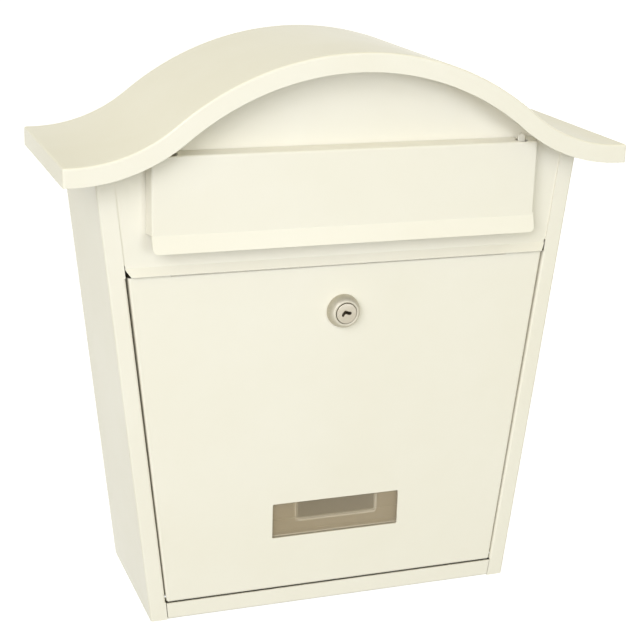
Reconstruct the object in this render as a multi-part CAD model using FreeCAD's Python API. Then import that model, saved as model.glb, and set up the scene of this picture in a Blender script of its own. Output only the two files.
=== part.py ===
import FreeCAD, Part
import math
import os

# Wall mounted post box folded from painted sheet steel.
# Frame: origin on the wall face at the middle of the four wall screw holes,
# +Z up, +Y into the wall, so the front looks along -Y. Millimetres.

# Sheet and folds
sheet = 1.0
fold_inside = 0.6
fold_outside = fold_inside + sheet

# Casing: width at its bottom edge, the outward lean of each side, depth from wall to front
body_bottom_width = 252.5
side_lean_deg = 6.345
body_depth = 108.5
flange_width = 11.2
flange_return = 8.0

# Wall screw holes in the back
screw_spacing_x = 180.0
screw_spacing_z = 160.0
screw_hole = 6.5
screw_centre_height = 130.0

# Roof: a wave of two arcs with a hanging edge on the front and both ends
roof_width = 365.0
roof_peak_height = 371.0
roof_end_height = 308.6
roof_crown_radius = 185.0
roof_flat_end = 5.0
roof_overhang = 24.4
fascia_height = 11.9
roof_edge_radius = 1.4

# Bottom panel
strip_height = 11.6
bottom_flange = 10.0
strip_end_gap = 0.5

# Door
door_strip_gap = 0.8
door_lip_gap = 1.2
door_side_gap_bottom = 0.9
door_side_gap_top = 1.6
door_side_depth = 28.0
door_side_relief_deg = 20.0
door_foot_depth = 20.0
hem_height = 8.0
hem_gap = 0.3

# Door hinge pins
hinge_setback = 3.2
pin_diameter = 2.5
pin_clearance = 0.05
pin_head_diameter = 4.0
pin_head_height = 1.2
pin_reach = 1.0

# Upper front panel: drip lip, letter opening and hooks
lip_bottom_height = 235.0
lip_crease_height = 240.0
lip_throw = 4.0
lip_end_gap = 0.6
lip_end_slope_height = 4.0
lip_end_slope_width = 3.0
opening_bottom_height = 272.0
opening_top_height = 305.6
opening_margin = 38.0
opening_corner = 2.0
hook_x = 116.8
hook_width = 5.0
hook_reach = 4.7
hook_drop = 2.7
hook_height = 11.3

# Letter flap
flap_width = 253.6
flap_proud = 8.5
flap_top_height = 309.7
flap_crease_height = 261.4
flap_bottom_height = 250.7
flap_kick = 3.5
flap_corner = 3.7
flap_rear_gap = 0.6
flap_splay_deg = 9.5
flap_hole = 6.8
flap_hole_tilt_deg = 15.0
flap_hole_setback = 4.0
flap_hole_play = 1.6
flap_slot_run = 2.8

# Lock
lock_height = 203.3
rosette_diameter = 22.2
rosette_rim = 0.9
rosette_top_diameter = 13.4
rosette_proud = 6.9
rosette_shoulder_diameter = 19.0
rosette_shoulder_proud = 4.6
barrel_diameter = 18.0
barrel_flats = 16.0
barrel_length = 13.0
barrel_hole_clearance = 0.15
plug_diameter = 11.6
plug_clearance = 0.05
plug_proud = 7.3
plug_recess_diameter = 12.4
plug_recess_depth = 0.8
plug_end_play = 0.1
keyway_width = 5.2
keyway_height = 1.3
keyway_depth = 9.0
spindle_square = 6.0
spindle_clearance = 0.05
washer_thickness = 0.8
lock_washer_diameter = 24.0
nut_flats = 22.0
nut_thickness = 3.0
cam_thickness = 2.0
cam_width = 12.0
cam_crank_start = 24.0
cam_crank_end = 33.0
cam_length = 45.0
cam_tip_clearance = 0.8
screw_head_diameter = 8.0
screw_head_height = 2.6
screw_head_chamfer = 0.8
screw_diameter = 3.6
screw_length = 8.0
screw_slot_width = 1.0
spring_washer_diameter = 7.4
spring_washer_thickness = 0.9
spring_washer_split = 0.6

# Name window and its clear label pocket
window_width = 88.6
window_bottom_height = 48.9
window_top_height = 73.2
window_corner = 1.0
pocket_overlap = 5.0
pocket_leaf = 1.2
pocket_gap = 1.4
finger_cut_width = 55.0
finger_cut_height = 59.0
finger_cut_corner = 1.5

# Worked out from the above
side_slope = math.tan(math.radians(side_lean_deg))
square_to_side = math.cos(math.radians(side_lean_deg))
floor_z = -screw_centre_height
front_y = -body_depth
wave_end = roof_width / 2 - roof_flat_end
wave_rise = roof_peak_height - roof_end_height
wave_radii = (wave_end**2 + wave_rise**2) / (2 * wave_rise)
roof_sweep_radius = wave_radii - roof_crown_radius
door_bottom_height = strip_height + door_strip_gap
door_top_height = lip_bottom_height - door_lip_gap
hinge_height = door_bottom_height + hinge_setback
plug_length = barrel_length + plug_end_play


def point(x, out, up):
    """Point by its distance in front of the body's front plane and above its bottom edge."""
    return FreeCAD.Vector(x, front_y - out, floor_z + up)


def half_width(up):
    """Half the width of the body at a height above its bottom edge."""
    return body_bottom_width / 2 + side_slope * up


def flange_edge(up):
    """Half the clear width between the front flanges."""
    return half_width(up) - flange_width


def tapered_outline(half_at, low, high, out):
    """Corners of a level-edged outline whose half width at each height is half_at(height)."""
    corners = ((-1, low), (1, low), (1, high), (-1, high))
    return [point(side * half_at(up), out, up) for side, up in corners]


def prism(points, direction):
    """Solid swept by a closed outline of straight edges."""
    wire = Part.makePolygon(points + [points[0]])
    return Part.Face(wire).extrude(direction)


def box_between(low, high):
    """Box between two corners, given in any order."""
    bound = FreeCAD.BoundBox(low.x, low.y, low.z, low.x, low.y, low.z)
    bound.add(high)
    corner = FreeCAD.Vector(bound.XMin, bound.YMin, bound.ZMin)
    return Part.makeBox(bound.XLength, bound.YLength, bound.ZLength, corner)


def rod(start, end, radius):
    """Round bar from one point to another."""
    axis = end - start
    return Part.makeCylinder(radius, axis.Length, start, axis)


def clean(shape):
    """The single solid of a shape, with its split faces joined."""
    merged = shape.removeSplitter()
    if len(merged.Solids) != 1:
        raise ValueError("expected one solid, got %d" % len(merged.Solids))
    return merged.Solids[0]


def mirrored(shape):
    """The left hand copy of a right hand shape."""
    return shape.mirror(FreeCAD.Vector(0, 0, 0), FreeCAD.Vector(1, 0, 0))


def fold_corner(before, corner, after, skin_radius):
    """Start, middle, end and centre of the arc that rounds one corner of a skin line."""
    into = (before - corner).normalize()
    onward = (after - corner).normalize()
    half_angle = into.getAngle(onward) / 2
    setback = skin_radius / math.tan(half_angle)
    bisector = (into + onward).normalize()
    centre = corner + bisector * (skin_radius / math.sin(half_angle))
    middle = centre - bisector * skin_radius
    return corner + into * setback, middle, corner + onward * setback, centre


def folded_strip(points, normal, inside=fold_inside):
    """Section face of a folded sheet. The skin line passes through the points, and the sheet
    lies on the left of it, seen with the normal pointing at the viewer."""
    skin = []
    back = []

    def offset(start, end):
        return normal.cross(end - start).normalize() * sheet

    skin_from = points[0]
    back_from = points[0] + offset(points[0], points[1])
    first_back = back_from
    for i in range(1, len(points) - 1):
        before, corner, after = points[i - 1], points[i], points[i + 1]
        turns_left = normal.dot((corner - before).cross(after - corner)) > 0
        skin_radius = inside + sheet if turns_left else inside
        back_radius = inside if turns_left else inside + sheet
        start, middle, end, centre = fold_corner(before, corner, after, skin_radius)
        ratio = back_radius / skin_radius
        turn = [centre + (p - centre) * ratio for p in (start, middle, end)]
        skin.append(Part.LineSegment(skin_from, start).toShape())
        skin.append(Part.Arc(start, middle, end).toShape())
        back.append(Part.LineSegment(back_from, turn[0]).toShape())
        back.append(Part.Arc(*turn).toShape())
        skin_from = end
        back_from = turn[2]
    last_back = points[-1] + offset(points[-2], points[-1])
    skin.append(Part.LineSegment(skin_from, points[-1]).toShape())
    back.append(Part.LineSegment(back_from, last_back).toShape())
    caps = [
        Part.LineSegment(points[0], first_back).toShape(),
        Part.LineSegment(points[-1], last_back).toShape(),
    ]
    return Part.Face(Part.Wire(Part.__sortEdges__(skin + back + caps)))


def near(value, target):
    """True where two lengths are the same."""
    return abs(value - target) < 0.01


def edges_where(shape, test):
    """Edges of a shape whose middle point passes the test."""
    chosen = []
    for edge in shape.Edges:
        middle = edge.valueAt((edge.FirstParameter + edge.LastParameter) / 2)
        if test(middle, edge):
            chosen.append(edge)
    return chosen


def wave_edges(drop, out, beyond_end):
    """The roof's wave line from left to right, lowered square to itself by drop."""
    crown_centre = point(0, out, roof_peak_height - roof_crown_radius)
    crown_radius = roof_crown_radius - drop
    sweep_radius = roof_sweep_radius + drop
    lean = math.asin(wave_end / wave_radii)
    low_z = floor_z + roof_end_height - drop
    crown = []
    for angle in (-lean, 0, lean):
        step = FreeCAD.Vector(math.sin(angle), 0, math.cos(angle)) * crown_radius
        crown.append(crown_centre + step)
    edges = [Part.Arc(*crown).toShape()]
    for side in (-1, 1):
        sweep_centre = point(side * wave_end, out, roof_end_height + roof_sweep_radius)
        sweep = []
        for angle in (lean, lean / 2, 0):
            step = FreeCAD.Vector(-side * math.sin(angle), 0, -math.cos(angle)) * sweep_radius
            sweep.append(sweep_centre + step)
        tip = FreeCAD.Vector(side * (roof_width / 2 + beyond_end), crown_centre.y, low_z)
        edges.append(Part.Arc(*sweep).toShape())
        edges.append(Part.LineSegment(sweep[-1], tip).toShape())
    return edges


def wave_end_points(drop, out, beyond_end):
    """Left and right ends of a wave line."""
    low_z = floor_z + roof_end_height - drop
    reach = roof_width / 2 + beyond_end
    return [FreeCAD.Vector(side * reach, front_y - out, low_z) for side in (-1, 1)]


def wave_face(top_drop, bottom_edges, bottom_ends, out, beyond_end):
    """Face between a wave line and the edges below or above it."""
    left, right = wave_end_points(top_drop, out, beyond_end)
    edges = wave_edges(top_drop, out, beyond_end) + bottom_edges
    edges.append(Part.LineSegment(left, bottom_ends[0]).toShape())
    edges.append(Part.LineSegment(right, bottom_ends[1]).toShape())
    return Part.Face(Part.Wire(Part.__sortEdges__(edges)))


def above_roof_underside():
    """Everything over the underside of the roof sheet, to trim the walls that meet it."""
    out = roof_overhang
    ceiling = roof_peak_height + roof_overhang
    corners = [point(side * roof_width, out, ceiling) for side in (-1, 1)]
    top = [Part.LineSegment(corners[0], corners[1]).toShape()]
    face = wave_face(sheet, top, corners, out, roof_width / 2)
    return face.extrude(FreeCAD.Vector(0, roof_overhang + body_depth + sheet, 0))


def roof_line(x):
    """Height of the roof's top line above the body's bottom edge."""
    crown_reach = wave_end * roof_crown_radius / wave_radii
    if abs(x) < crown_reach:
        return roof_peak_height - roof_crown_radius + math.sqrt(roof_crown_radius**2 - x**2)
    reach = max(0, wave_end - abs(x))
    return roof_end_height + roof_sweep_radius - math.sqrt(roof_sweep_radius**2 - reach**2)


def roof_cover():
    """Wave roof with a hanging edge along the front and both ends, folded to a small radius."""
    depth = FreeCAD.Vector(0, roof_overhang + body_depth, 0)
    low = wave_edges(fascia_height, roof_overhang, 0)
    low_ends = wave_end_points(fascia_height, roof_overhang, 0)
    slab = wave_face(0, low, low_ends, roof_overhang, 0).extrude(depth)
    tip = roof_width / 2
    low_edge = floor_z + roof_end_height - fascia_height

    front = front_y - roof_overhang

    def fold(middle, edge):
        on_end = near(abs(middle.x), tip) and not near(middle.z, low_edge) and not near(middle.y, 0)
        on_top = near(middle.z, floor_z + roof_line(middle.x))
        return on_end or (on_top and near(middle.y, front))

    slab = slab.makeFillet(roof_edge_radius, edges_where(slab, fold))
    inside_out = roof_overhang - sheet
    corners = [point(side * (tip - sheet), inside_out, 0) for side in (-1, 1)]
    floor = [Part.LineSegment(corners[0], corners[1]).toShape()]
    room = wave_face(sheet, floor, corners, inside_out, -sheet)
    room = room.extrude(depth)
    return clean(slab.cut(room))


def leaning(section, low, high):
    """Solid swept along the lean of the right side, with level ends. The section is drawn level
    with the body's bottom edge, its distances from the corner measured square to the side."""
    up = FreeCAD.Vector(0, 0, 1)
    spare = flange_width
    length = (high - low) / square_to_side + 2 * spare
    bar = section.translated(up * (low - spare)).extrude(up * length)
    bar.rotate(point(half_width(0), 0, 0), FreeCAD.Vector(0, 1, 0), side_lean_deg)
    slab = box_between(point(0, roof_overhang, low), point(roof_width, -2 * body_depth, high))
    return bar.common(slab)


def side_half():
    """Right half of the casing wrap: the side wall, its front flange and a width of the back."""
    up = FreeCAD.Vector(0, 0, 1)
    edge_x = half_width(0)
    join_x = edge_x - flange_width * square_to_side
    wall = [
        point(join_x, 0, 0),
        point(edge_x, 0, 0),
        point(edge_x, -body_depth, 0),
        point(join_x, -body_depth, 0),
    ]
    half = leaning(folded_strip(wall, up), 0, roof_peak_height)
    turned = [
        point(join_x, -flange_return, 0),
        point(join_x, 0, 0),
        point((join_x + edge_x) / 2, 0, 0),
    ]
    edge_strip = leaning(folded_strip(turned, up), door_bottom_height, door_top_height)
    outline = []
    for up, shift in ((door_bottom_height, -sheet), (door_bottom_height, flange_width / 2),
                      (door_top_height, flange_width / 2), (door_top_height, -sheet)):
        outline.append(point(flange_edge(up) + shift, 0, up))
    plain_edge = prism(outline, FreeCAD.Vector(0, sheet, 0))
    return half.cut(plain_edge).fuse(edge_strip)


def casing_shell():
    """Back, leaning sides and front flanges, folded from one sheet and cut to the roof."""
    right = side_half()
    outline = tapered_outline(flange_edge, 0, roof_peak_height, -body_depth)
    back = prism(outline, FreeCAD.Vector(0, -sheet, 0))
    shell = right.fuse([mirrored(right), back]).removeSplitter()
    shell = shell.cut(above_roof_underside())
    through = FreeCAD.Vector(0, 2 * sheet, 0)
    for side in (-1, 1):
        for level in (-1, 1):
            middle = FreeCAD.Vector(side * screw_spacing_x / 2, 0, level * screw_spacing_z / 2)
            shell = shell.cut(rod(middle - through, middle + through, screw_hole / 2))
        shell = shell.cut(hinge_line(side, pin_diameter / 2))
    return clean(shell)


def bottom_panel():
    """Floor tray: front strip under the door and three flanges turned up inside the walls."""
    across = FreeCAD.Vector(1, 0, 0)
    rear = -body_depth + sheet
    reach = half_width(strip_height)
    spine = [
        point(-reach, rear, bottom_flange),
        point(-reach, rear, 0),
        point(-reach, 0, 0),
        point(-reach, 0, strip_height),
    ]
    front_and_back = folded_strip(spine, across * -1).extrude(across * 2 * reach)
    top = max(bottom_flange, strip_height)
    between_flanges = tapered_outline(lambda up: flange_edge(up) - strip_end_gap, 0, top, 0)
    front_and_back = front_and_back.common(prism(between_flanges, FreeCAD.Vector(0, body_depth, 0)))
    inner = half_width(0) - sheet / square_to_side
    rise = side_slope * bottom_flange
    front = -sheet - fold_inside
    trough = [
        point(-inner - rise, front, bottom_flange),
        point(-inner, front, 0),
        point(inner, front, 0),
        point(inner + rise, front, bottom_flange),
    ]
    section = folded_strip(trough, FreeCAD.Vector(0, -1, 0))
    sides = section.extrude(FreeCAD.Vector(0, body_depth + 2 * front, 0))
    return clean(front_and_back.fuse(sides))


def rounded_outline(corners, radius):
    """Closed wire of straight edges with every corner rounded."""
    edges = []
    count = len(corners)
    arcs = []
    for i in range(count):
        before, corner, after = corners[i - 1], corners[i], corners[(i + 1) % count]
        arcs.append(fold_corner(before, corner, after, radius)[:3])
    for i in range(count):
        start, middle, end = arcs[i]
        edges.append(Part.Arc(start, middle, end).toShape())
        edges.append(Part.LineSegment(end, arcs[(i + 1) % count][0]).toShape())
    return Part.Wire(Part.__sortEdges__(edges))


def letter_opening():
    """Slot for the post, with ends parallel to the sides of the box."""
    corners = tapered_outline(
        lambda up: half_width(up) - opening_margin, opening_bottom_height, opening_top_height, 0)
    face = Part.Face(rounded_outline(corners, opening_corner))
    return face.extrude(FreeCAD.Vector(0, 3 * sheet, 0))


def flap_hook(x):
    """Tongue bent out from the opening's top edge and up through the flap, with a round tip."""
    across = FreeCAD.Vector(1, 0, 0)
    low = opening_top_height - hook_drop
    top = low + hook_height
    left = x - hook_width / 2
    right = x + hook_width / 2
    line = [
        point(left, -2 * sheet, opening_top_height + 4 * sheet),
        point(left, -2 * sheet, low),
        point(left, hook_reach, low),
        point(left, hook_reach, top),
    ]
    tongue = folded_strip(line, across * -1).extrude(across * hook_width)
    tip_radius = hook_width / 2
    tip_centre = top - tip_radius
    behind = hook_reach - 3 * sheet
    square_tip = box_between(point(left, hook_reach, tip_centre), point(right, behind, top))
    round_tip = rod(point(x, hook_reach, tip_centre), point(x, behind, tip_centre), tip_radius)
    return tongue.cut(square_tip.cut(round_tip))


def upper_front_panel():
    """Gable panel lapped behind the flanges, with the drip lip, letter opening and hooks."""
    across = FreeCAD.Vector(1, 0, 0)
    reach = half_width(roof_end_height)
    line = [
        point(-reach, -sheet, roof_peak_height),
        point(-reach, -sheet, lip_crease_height),
        point(-reach, -sheet + lip_throw, lip_bottom_height),
    ]
    plate = folded_strip(line, across).extrude(across * 2 * reach)
    lap_bottom = lip_crease_height + fold_outside
    inset = sheet + fold_inside + strip_end_gap
    through = FreeCAD.Vector(0, 2 * lip_throw, 0)
    wide = tapered_outline(lambda up: half_width(up) - inset, lap_bottom, roof_peak_height, lip_throw)
    low = lip_bottom_height - sheet
    cut_off = lip_bottom_height + lip_end_slope_height

    def lip_half(up):
        cut_share = max(0, cut_off - up) / (cut_off - low)
        return flange_edge(up) - lip_end_gap - lip_end_slope_width * cut_share

    narrow = tapered_outline(lip_half, cut_off, lap_bottom, lip_throw)
    tip = tapered_outline(lip_half, low, cut_off, lip_throw)
    keep = prism(wide, through).fuse([prism(narrow, through), prism(tip, through)])
    plate = plate.common(keep.removeSplitter())
    plate = plate.cut(above_roof_underside()).cut(letter_opening())
    return clean(plate.fuse([flap_hook(-hook_x), flap_hook(hook_x)]))


def flap_hole_cutter(x, slot_run):
    """Slotted cutter for a hook at x, tilted so that the hole breaks through the flap's top fold."""
    tilt = math.radians(flap_hole_tilt_deg)
    radius = flap_hole / 2
    axis = FreeCAD.Vector(0, -math.sin(tilt), math.cos(tilt))
    length = axis * 6 * sheet
    left = point(x - flap_hole_play / 2, flap_proud - flap_hole_setback, flap_top_height) - length / 2
    right = left + FreeCAD.Vector(flap_hole_play + slot_run, 0, 0)
    across = FreeCAD.Vector(0, axis.z, -axis.y) * radius
    bridge = prism([left + across, right + across, right - across, left - across], length)
    return rod(left, left + length, radius).fuse([rod(right, right + length, radius), bridge])


def flap_form(inset):
    """Block that fills the flap's tray, whose top and sides splay out towards the panel."""
    splay = math.tan(math.radians(flap_splay_deg))
    wall = inset / math.cos(math.radians(flap_splay_deg))
    front = flap_proud - inset
    rear = flap_rear_gap - sheet - inset
    reach = flap_width / 2 + inset * splay - wall
    top = flap_top_height + inset * splay - wall
    low = flap_crease_height - inset
    spread = (front - rear) * splay
    side_view = [
        point(-flap_width, front, low),
        point(-flap_width, front, top),
        point(-flap_width, rear, top + spread),
        point(-flap_width, rear, low),
    ]
    plan_view = [
        point(-reach, front, low),
        point(reach, front, low),
        point(reach + spread, rear, low),
        point(-reach - spread, rear, low),
    ]
    height = FreeCAD.Vector(0, 0, 2 * (top - low))
    return prism(side_view, FreeCAD.Vector(2 * flap_width, 0, 0)).common(prism(plan_view, height))


def letter_flap():
    """Pressed tray: top flange, two side returns and a finger lip kicked outward."""
    reach = flap_width / 2
    low = flap_crease_height

    def folds(front, rear):
        def test(middle, edge):
            on_front = near(middle.y, front) and middle.z > floor_z + low
            on_corner = front < middle.y < rear and middle.z > floor_z + flap_top_height - sheet
            return on_front or (on_corner and abs(edge.tangentAt(edge.FirstParameter).y) > 0.5)
        return test

    front = front_y - flap_proud
    rear = front_y + sheet - flap_rear_gap
    block = flap_form(0)
    block = block.makeFillet(fold_outside, edges_where(block, folds(front, rear)))
    room = flap_form(sheet)
    room = room.makeFillet(fold_inside, edges_where(room, folds(front + sheet, rear + sheet)))
    across = FreeCAD.Vector(1, 0, 0)
    lip_line = [
        point(-reach, flap_proud + flap_kick, flap_bottom_height),
        point(-reach, flap_proud, low),
        point(-reach, flap_proud, low + fold_outside),
    ]
    lip = folded_strip(lip_line, across * -1).extrude(across * 2 * reach)
    top = low + 2 * fold_outside
    outline = tapered_outline(lambda up: reach, flap_bottom_height, top + flap_corner, 0)
    round_corners = Part.Face(rounded_outline(outline, flap_corner))
    lip = lip.common(round_corners.extrude(FreeCAD.Vector(0, -flap_proud - 2 * flap_kick, 0)))
    flap = block.cut(room).fuse(lip)
    flap = flap.cut(flap_hole_cutter(hook_x, 0))
    flap = flap.cut(flap_hole_cutter(-hook_x, flap_slot_run))
    return clean(flap)


def door_half_width(up):
    """Half the width of the door at a height, with a side gap that widens upwards."""
    share = (up - door_bottom_height) / (door_top_height - door_bottom_height)
    gap = door_side_gap_bottom + (door_side_gap_top - door_side_gap_bottom) * share
    return flange_edge(up) - gap


def hinge_line(side, radius):
    """Cutter or bar along one hinge pin."""
    edge = flange_edge(hinge_height)
    start = point(side * (edge - 6 * sheet), -hinge_setback, hinge_height)
    end = point(side * (edge + 4 * sheet), -hinge_setback, hinge_height)
    return rod(start, end, radius)


def lock_axis_rod(radius, out_from, out_to):
    """Round bar on the lock's axis."""
    return rod(point(0, out_from, lock_height), point(0, out_to, lock_height), radius)


def lock_axis_box(width, height, out_from, out_to):
    """Box centred on the lock's axis."""
    low = point(-width / 2, out_from, lock_height - height / 2)
    high = point(width / 2, out_to, lock_height + height / 2)
    return box_between(low, high)


def double_flat(diameter, flats, out_from, out_to):
    """Round bar with two flats, as a lock barrel has."""
    bar = lock_axis_rod(diameter / 2, out_from, out_to)
    return bar.common(lock_axis_box(flats, diameter, out_from, out_to))


def barrel_hole(out_from, out_to):
    """Cutter for the hole that the lock's barrel passes through."""
    room = 2 * barrel_hole_clearance
    return double_flat(barrel_diameter + room, barrel_flats + room, out_from, out_to)


def door_hem():
    """Closed hem that stiffens the door's top edge."""
    across = FreeCAD.Vector(1, 0, 0)
    reach = door_half_width(door_top_height - hem_height) - fold_outside - sheet
    back_leaf = -2 * sheet - hem_gap
    line = [
        point(-reach, back_leaf, door_top_height - hem_height),
        point(-reach, back_leaf, door_top_height),
        point(-reach, 0, door_top_height),
        point(-reach, 0, door_top_height - 2 * sheet),
    ]
    return folded_strip(line, across, hem_gap / 2).extrude(across * 2 * reach)


def door_pan():
    """Door face with its side and foot returns, made as a shell with an open top and back."""
    low = door_bottom_height
    top = door_top_height
    depth = FreeCAD.Vector(0, door_side_depth, 0)
    pan = prism(tapered_outline(door_half_width, low, top, 0), depth)
    inner = tapered_outline(lambda up: door_half_width(up) - sheet, low + sheet, top + sheet, -sheet)
    room = prism(inner, depth)

    def folds(front, foot):
        def test(middle, edge):
            on_front = near(middle.y, front) and not near(middle.z, floor_z + top)
            along_depth = near(abs(edge.tangentAt(edge.FirstParameter).y), 1)
            return middle.z < floor_z + top and (on_front or (along_depth and middle.z < foot))
        return test

    foot = floor_z + low + fold_outside
    pan = pan.makeFillet(fold_outside, edges_where(pan, folds(front_y, foot)))
    room = room.makeFillet(fold_inside, edges_where(room, folds(front_y + sheet, foot)))
    return pan.cut(room)


def door_trims():
    """What is cut off the door pan: the foot's rear, the hem's place and the sloping side tops."""
    low = door_bottom_height
    top = door_top_height
    foot_reach = door_half_width(low) - fold_outside
    foot = box_between(point(-foot_reach, -door_foot_depth, low),
                       point(foot_reach, -door_side_depth, low + fold_outside))
    hem_reach = foot_reach - sheet
    hem_place = box_between(point(-hem_reach, 0, top - 2 * sheet), point(hem_reach, -sheet, top))
    slope = math.tan(math.radians(door_side_relief_deg))
    across = half_width(top)
    start = -2 * sheet - hem_gap
    relief = prism([
        point(-across, start, top),
        point(-across, -door_side_depth, top - (door_side_depth + start) * slope),
        point(-across, -door_side_depth, top),
    ], FreeCAD.Vector(2 * across, 0, 0))
    return [foot, hem_place, relief]


def door_panel():
    """Door pan with a hemmed top, lock hole, name window and holes for the hinge pins."""
    pan = door_pan().cut(door_trims()).fuse(door_hem())
    corners = tapered_outline(lambda up: window_width / 2, window_bottom_height, window_top_height, 0)
    window = Part.Face(rounded_outline(corners, window_corner)).extrude(FreeCAD.Vector(0, sheet, 0))
    pan = pan.cut([barrel_hole(0, -sheet), window])
    for side in (-1, 1):
        pan = pan.cut(hinge_line(side, pin_diameter / 2 + pin_clearance))
    return clean(pan)


def hinge_pin(side):
    """Rivet through the flange's turned edge, whose shank carries the door."""
    edge = flange_edge(hinge_height)
    inner = door_half_width(hinge_height) - sheet - pin_reach
    head_from = edge + sheet + side_slope * pin_head_diameter / 2
    tip, neck, end = [point(side * x, -hinge_setback, hinge_height)
                      for x in (inner, head_from, head_from + pin_head_height)]
    shank = rod(tip, neck, pin_diameter / 2)
    head = rod(neck, end, pin_head_diameter / 2)
    return clean(shank.fuse(head))


def label_pocket():
    """Clear pocket behind the door's window: two leaves joined below and at the ends."""
    reach = window_width / 2 + pocket_overlap
    low = window_bottom_height - pocket_overlap
    high = window_top_height + pocket_overlap
    back = sheet + 2 * pocket_leaf + pocket_gap
    body = box_between(point(-reach, -sheet, low), point(reach, -back, high))
    slot = box_between(point(-reach + pocket_leaf, -sheet - pocket_leaf, low + pocket_leaf),
                       point(reach - pocket_leaf, -sheet - pocket_leaf - pocket_gap, high + sheet))
    mid_slot = -sheet - pocket_leaf - pocket_gap / 2
    corners = tapered_outline(lambda up: finger_cut_width / 2, finger_cut_height, high + sheet, mid_slot)
    finger_cut = Part.Face(rounded_outline(corners, finger_cut_corner)).extrude(FreeCAD.Vector(0, back, 0))
    above = tapered_outline(lambda up: finger_cut_width / 2, high - finger_cut_corner, high, mid_slot)
    finger_cut = finger_cut.fuse(prism(above, FreeCAD.Vector(0, back, 0)))
    return clean(body.cut([slot, finger_cut]))


def lock_body():
    """Die-cast rosette with a barrel that has two flats, bored for the plug."""
    centre = point(0, 0, lock_height)
    rim, shoulder, crown = rosette_diameter / 2, rosette_shoulder_diameter / 2, rosette_top_diameter / 2
    profile = [centre]
    for radius, out in ((rim, 0), (rim, rosette_rim), (shoulder, rosette_shoulder_proud),
                        (crown, rosette_proud), (0, rosette_proud)):
        profile.append(point(radius, out, lock_height))
    outline = Part.makePolygon(profile + [centre])
    rosette = Part.Face(outline).revolve(centre, FreeCAD.Vector(0, 1, 0), 360)
    barrel = double_flat(barrel_diameter, barrel_flats, rosette_rim, -barrel_length)
    bore = lock_axis_rod(plug_diameter / 2 + plug_clearance, rosette_proud, -barrel_length)
    mouth = lock_axis_rod(plug_recess_diameter / 2, rosette_proud, rosette_proud - plug_recess_depth)
    return clean(rosette.fuse(barrel).cut([bore, mouth]))


def lock_plug():
    """Turning plug with a keyway in its face and a square end for the cam."""
    plug = lock_axis_rod(plug_diameter / 2, plug_proud, -plug_length)
    end = -plug_length - cam_thickness
    spindle = lock_axis_box(spindle_square, spindle_square, -plug_length, end)
    keyway = lock_axis_box(keyway_width, keyway_height, plug_proud, plug_proud - keyway_depth)
    thread = lock_axis_rod(screw_diameter / 2, end, end + screw_length)
    return clean(plug.fuse(spindle).cut([keyway, thread]))


def lock_washer():
    """Toothed washer between the door and the lock nut."""
    disc = lock_axis_rod(lock_washer_diameter / 2, -sheet, -sheet - washer_thickness)
    return clean(disc.cut(barrel_hole(-sheet, -sheet - washer_thickness)))


def lock_nut():
    """Thin hexagon nut that clamps the lock to the door."""
    front = -sheet - washer_thickness
    radius = nut_flats / math.sqrt(3)
    corners = []
    for i in range(6):
        angle = math.radians(60 * i)
        corners.append(point(radius * math.cos(angle), front, lock_height + radius * math.sin(angle)))
    hexagon = prism(corners, FreeCAD.Vector(0, nut_thickness, 0))
    return clean(hexagon.cut(lock_axis_rod(barrel_diameter / 2, front, front - nut_thickness)))


def lock_cam():
    """Cranked cam, drawn unlocked: it points to the left, seen from the front."""
    front = -plug_length
    tip_front = -2 * sheet - cam_tip_clearance
    width = FreeCAD.Vector(0, 0, 1)
    low = lock_height - cam_width / 2
    half = cam_width / 2
    run = [
        point(half, front, low),
        point(-cam_crank_start, front, low),
        point(-cam_crank_end, tip_front, low),
        point(-cam_length, tip_front, low),
        point(-cam_length, tip_front - cam_thickness, low),
        point(-cam_crank_end - cam_thickness / 2, tip_front - cam_thickness, low),
        point(-cam_crank_start - cam_thickness / 2, front - cam_thickness, low),
        point(half, front - cam_thickness, low),
    ]
    plate = prism(run, width * cam_width)
    tip_x = half - cam_length
    room = box_between(point(tip_x, 0, low), point(0, 2 * front, low + cam_width))
    for x in (0, tip_x):
        room = room.fuse(rod(point(x, 0, lock_height), point(x, 2 * front, lock_height), half))
    hole = spindle_square + 2 * spindle_clearance
    square = lock_axis_box(hole, hole, front, front - cam_thickness)
    return clean(plate.common(room).cut(square))


def cam_spring_washer():
    """Split spring washer under the head of the cam screw."""
    front = -plug_length - cam_thickness
    back = front - spring_washer_thickness
    disc = lock_axis_rod(spring_washer_diameter / 2, front, back)
    hole = lock_axis_rod(screw_diameter / 2 + barrel_hole_clearance, front, back)
    split = box_between(point(0, front, lock_height - spring_washer_split / 2),
                        point(spring_washer_diameter, back, lock_height + spring_washer_split / 2))
    return clean(disc.cut([hole, split]))


def cam_screw():
    """Pan head screw that holds the cam on the plug."""
    seat = -plug_length - cam_thickness - spring_washer_thickness
    back = seat - screw_head_height
    head = lock_axis_rod(screw_head_diameter / 2, seat, back)
    rim = edges_where(head, lambda middle, edge: near(middle.y, front_y - back))
    head = head.makeChamfer(screw_head_chamfer, rim)
    shank = lock_axis_rod(screw_diameter / 2, seat, seat + screw_length)
    slot = lock_axis_box(screw_head_diameter, screw_slot_width, seat - screw_head_height / 2, back)
    return clean(head.fuse(shank).cut(slot))


nodes = {
    "casing_shell": casing_shell,
    "bottom_panel": bottom_panel,
    "upper_front_panel": upper_front_panel,
    "roof_cover": roof_cover,
    "letter_flap": letter_flap,
    "door_panel": door_panel,
    "door_hinge_pin_left": lambda: hinge_pin(-1),
    "door_hinge_pin_right": lambda: hinge_pin(1),
    "label_pocket": label_pocket,
    "lock_body": lock_body,
    "lock_plug": lock_plug,
    "lock_washer": lock_washer,
    "lock_nut": lock_nut,
    "lock_cam": lock_cam,
    "cam_spring_washer": cam_spring_washer,
    "cam_screw": cam_screw,
}

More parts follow.
